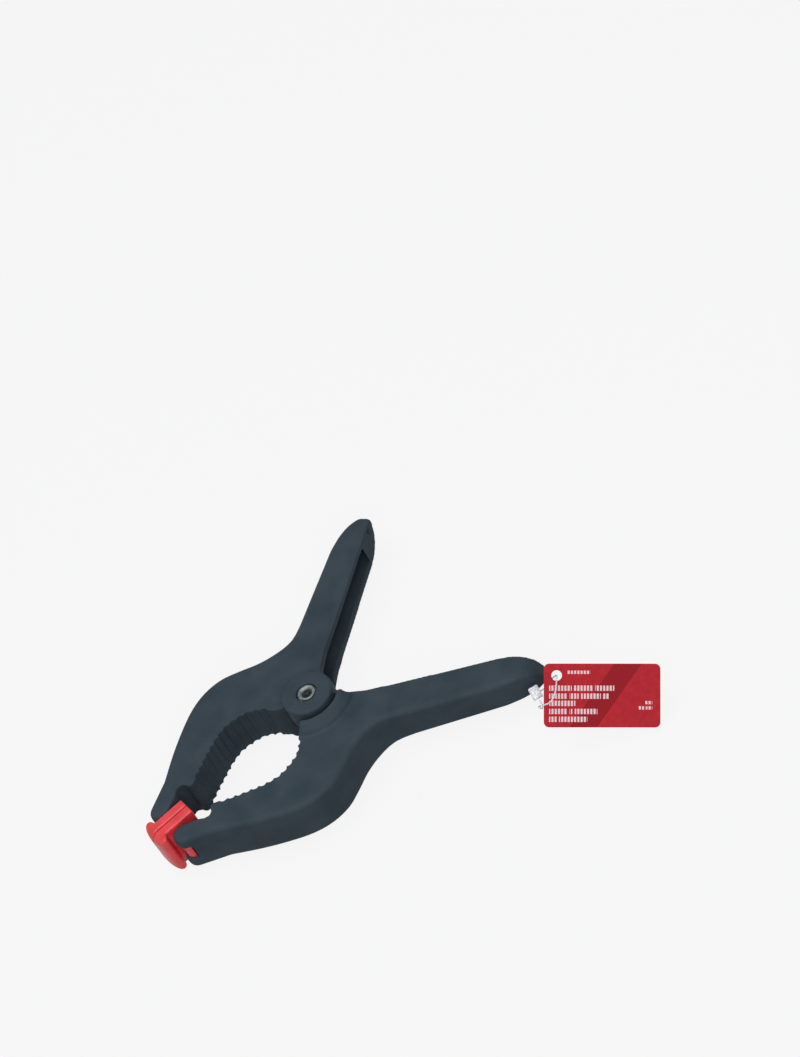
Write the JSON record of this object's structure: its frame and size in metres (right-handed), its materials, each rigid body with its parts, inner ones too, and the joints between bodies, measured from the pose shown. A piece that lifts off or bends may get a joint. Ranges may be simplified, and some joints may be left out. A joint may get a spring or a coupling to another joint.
{
  "type": "spring clamp",
  "caption": "Moulded spring clamp with channel handles, curved toothed jaws, swivelling soft pads, a torsion spring on a hollow pivot, and a card tag on a plastic loop.",
  "frame": {"origin": "middle of the underside of the closed clamp's box, without its tag; the back boss lies on the surface there", "axes": "+X from the jaws to the handles along the clamp's centre line, +Y to the upper arm, +Z along the pivot, out of the front boss"},
  "size_m": [0.1992, 0.1891, 0.0342],
  "materials": {
    "nylon": "fine spark-eroded moulding texture",
    "pad_plastic": "soft satin",
    "pivot_steel": "bright zinc plate",
    "spring_steel": "drawn wire, plated",
    "tag_card": "printed card, satin",
    "clear_plastic": "clear, glossy"
  },
  "bodies": {
    "lower_arm": {"lower_arm": "nylon", "torsion_spring": "spring_steel", "pivot_tube": "pivot_steel", "front_washer": "pivot_steel", "back_washer": "pivot_steel", "hang_tag": "tag_card", "tag_loop": "clear_plastic", "loop_lock": "clear_plastic"},
    "upper_arm": {"upper_arm": "nylon"},
    "lower_pad": {"lower_jaw_pad": "pad_plastic"},
    "upper_pad": {"upper_jaw_pad": "pad_plastic"}
  },
  "joints": [
    {"name": "jaw_hinge", "type": "hinge", "parent": "lower_arm", "child": "upper_arm", "pos_m": [0.00528, 0, 0.0147], "axis": [0, 0, -1], "range_deg": [0, 50], "stiffness_Nm_per_rad": 1.8, "springref_deg": -20.05, "deforming": ["torsion_spring"]},
    {"name": "lower_pad_swivel", "type": "hinge", "parent": "lower_arm", "child": "lower_pad", "pos_m": [-0.07422, -0.0095, 0.0147], "axis": [0, 0, -1], "range_deg": [0, 25]},
    {"name": "upper_pad_swivel", "type": "hinge", "parent": "upper_arm", "child": "upper_pad", "pos_m": [-0.07422, 0.0095, 0.0147], "axis": [0, 0, -1], "range_deg": [-25, 0]}
  ],
  "couplings": [
    {"joint": "lower_pad_swivel", "follows": "jaw_hinge", "ratio": 0.5},
    {"joint": "upper_pad_swivel", "follows": "jaw_hinge", "ratio": -0.5}
  ]
}
